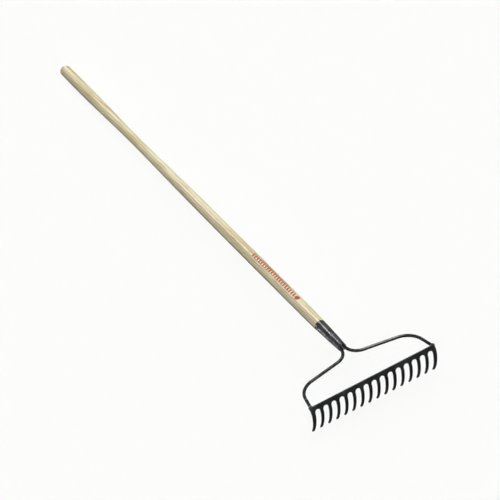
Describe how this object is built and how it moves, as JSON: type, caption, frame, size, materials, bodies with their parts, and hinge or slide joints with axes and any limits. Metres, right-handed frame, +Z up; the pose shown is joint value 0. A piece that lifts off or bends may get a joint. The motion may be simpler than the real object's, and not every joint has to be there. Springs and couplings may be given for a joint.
{
  "type": "bow rake",
  "caption": "Long-handled bow rake: turned ash handle, black steel ferrule, two curved round-rod bow arms and a straight bar of curved tines.",
  "frame": {"origin": "on the floor under the middle of the bounding box, with the rake lying on its tine tips and its grip end", "axes": "+X along the tine bar, +Y from the head to the grip end, +Z up from the floor"},
  "size_m": [0.4158, 1.7215, 0.1069],
  "materials": {
    "ash": "clear lacquered",
    "black_enamel": "satin",
    "weld_metal": "satin",
    "printed_ink": "semi-gloss"
  },
  "bodies": {
    "root": {"handle": "ash", "ferrule": "black_enamel", "ferrule_rivet": "black_enamel", "left_bow_arm": "black_enamel", "right_bow_arm": "black_enamel", "left_bow_weld": "weld_metal", "right_bow_weld": "weld_metal", "tine_bar": "black_enamel"}
  },
  "joints": []
}
